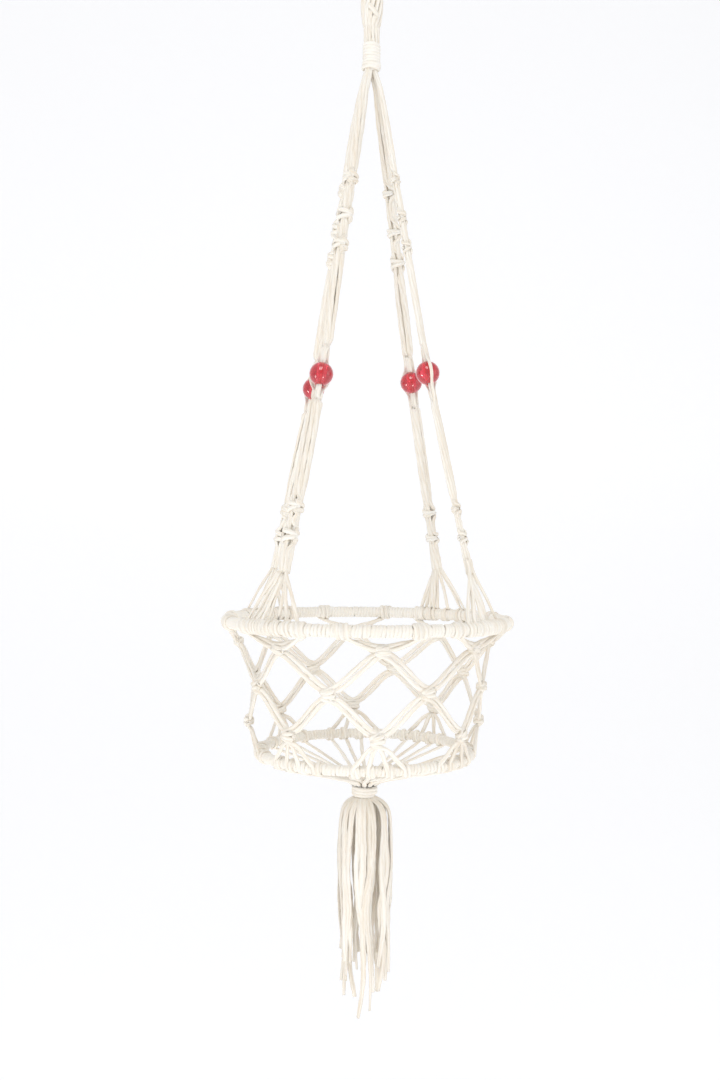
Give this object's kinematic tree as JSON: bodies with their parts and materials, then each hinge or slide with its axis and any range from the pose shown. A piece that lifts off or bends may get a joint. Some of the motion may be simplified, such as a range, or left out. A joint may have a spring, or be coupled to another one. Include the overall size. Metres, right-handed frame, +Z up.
{
  "type": "hanging planter",
  "caption": "Hanging plant holder of knotted cotton cord: four beaded arms, a netted basket between two wrapped hoops, and a tassel below.",
  "frame": {"origin": "inside top of the hanging loop, where the hook bears", "axes": "+Z up along the planter's axis; the front is towards -Y, and the four arms stand on the diagonals of X and Y"},
  "size_m": [0.251, 0.251, 0.9364],
  "materials": {
    "cotton_cord": "soft twisted cotton cord, matte",
    "wrap_cord": "the same cotton cord wound tight, matte",
    "hoop_wood": "plain bent wood, hidden by its winding",
    "red_glass": "polished deep red glass"
  },
  "bodies": {
    "loop": {"hanging_loop": "cotton_cord"},
    "neck_tie": {"neck_binding": "wrap_cord"},
    "neck": {"neck_cords": "cotton_cord"},
    "hanger": {"crown_wrap": "wrap_cord", "front_left_upper_cords": "cotton_cord", "front_left_upper_knots": "cotton_cord", "front_left_middle_cords": "cotton_cord", "front_left_bead_cords": "cotton_cord", "front_left_lower_cords": "cotton_cord", "front_left_lower_knots": "cotton_cord", "front_left_ring_cords": "cotton_cord", "front_right_upper_cords": "cotton_cord", "front_right_upper_knots": "cotton_cord", "front_right_middle_cords": "cotton_cord", "front_right_bead_cords": "cotton_cord", "front_right_lower_cords": "cotton_cord", "front_right_lower_knots": "cotton_cord", "front_right_ring_cords": "cotton_cord", "back_right_upper_cords": "cotton_cord", "back_right_upper_knots": "cotton_cord", "back_right_middle_cords": "cotton_cord", "back_right_bead_cords": "cotton_cord", "back_right_lower_cords": "cotton_cord", "back_right_lower_knots": "cotton_cord", "back_right_ring_cords": "cotton_cord", "back_left_upper_cords": "cotton_cord", "back_left_upper_knots": "cotton_cord", "back_left_middle_cords": "cotton_cord", "back_left_bead_cords": "cotton_cord", "back_left_lower_cords": "cotton_cord", "back_left_lower_knots": "cotton_cord", "back_left_ring_cords": "cotton_cord", "top_hoop": "hoop_wood", "top_hoop_wrap": "wrap_cord", "net_column_1": "cotton_cord", "net_column_2": "cotton_cord", "net_column_3": "cotton_cord", "net_column_4": "cotton_cord", "net_column_5": "cotton_cord", "net_column_6": "cotton_cord", "net_column_7": "cotton_cord", "net_column_8": "cotton_cord"},
    "front_left_bead": {"front_left_bead": "red_glass"},
    "front_right_bead": {"front_right_bead": "red_glass"},
    "back_right_bead": {"back_right_bead": "red_glass"},
    "back_left_bead": {"back_left_bead": "red_glass"},
    "basket": {"bottom_hoop": "hoop_wood", "bottom_hoop_wrap": "wrap_cord", "base_web": "cotton_cord"},
    "tassel_knot": {"tassel_wrap": "wrap_cord"},
    "tassel": {"tassel_lock_1": "cotton_cord", "tassel_lock_2": "cotton_cord", "tassel_lock_3": "cotton_cord", "tassel_lock_4": "cotton_cord", "tassel_lock_5": "cotton_cord", "tassel_lock_6": "cotton_cord", "tassel_lock_7": "cotton_cord", "tassel_lock_8": "cotton_cord"}
  },
  "joints": [
    {"name": "side_swing", "type": "hinge", "parent": "loop", "child": "neck_tie", "pos_m": [0, 0, -0.058], "axis": [0, 1, 0], "range_deg": [-25, 25]},
    {"name": "fore_aft_swing", "type": "hinge", "parent": "neck_tie", "child": "neck", "pos_m": [0, 0, -0.0835], "axis": [1, 0, 0], "range_deg": [-25, 25]},
    {"name": "twist", "type": "hinge", "parent": "neck", "child": "hanger", "pos_m": [0, 0, -0.0888], "axis": [0, 0, 1], "range_deg": [-90, 90]},
    {"name": "front_left_bead_spin", "type": "hinge", "parent": "hanger", "child": "front_left_bead", "pos_m": [-0.04455, -0.04455, -0.385], "axis": [0.1595, 0.1595, 0.9742], "continuous": true},
    {"name": "front_right_bead_spin", "type": "hinge", "parent": "hanger", "child": "front_right_bead", "pos_m": [0.04455, -0.04455, -0.382], "axis": [-0.1595, 0.1595, 0.9742], "continuous": true},
    {"name": "back_right_bead_spin", "type": "hinge", "parent": "hanger", "child": "back_right_bead", "pos_m": [0.04455, 0.04455, -0.378], "axis": [-0.1595, -0.1595, 0.9742], "continuous": true},
    {"name": "back_left_bead_spin", "type": "hinge", "parent": "hanger", "child": "back_left_bead", "pos_m": [-0.04455, 0.04455, -0.386], "axis": [0.1595, -0.1595, 0.9742], "continuous": true},
    {"name": "basket_lift", "type": "slide", "parent": "hanger", "child": "basket", "axis": [0, 0, 1], "range_m": [0, 0.08]},
    {"name": "tassel_fore_aft_swing", "type": "hinge", "parent": "basket", "child": "tassel_knot", "pos_m": [0, 0, -0.7455], "axis": [1, 0, 0], "range_deg": [-30, 30]},
    {"name": "tassel_side_swing", "type": "hinge", "parent": "tassel_knot", "child": "tassel", "pos_m": [0, 0, -0.7455], "axis": [0, 1, 0], "range_deg": [-30, 30]}
  ]
}
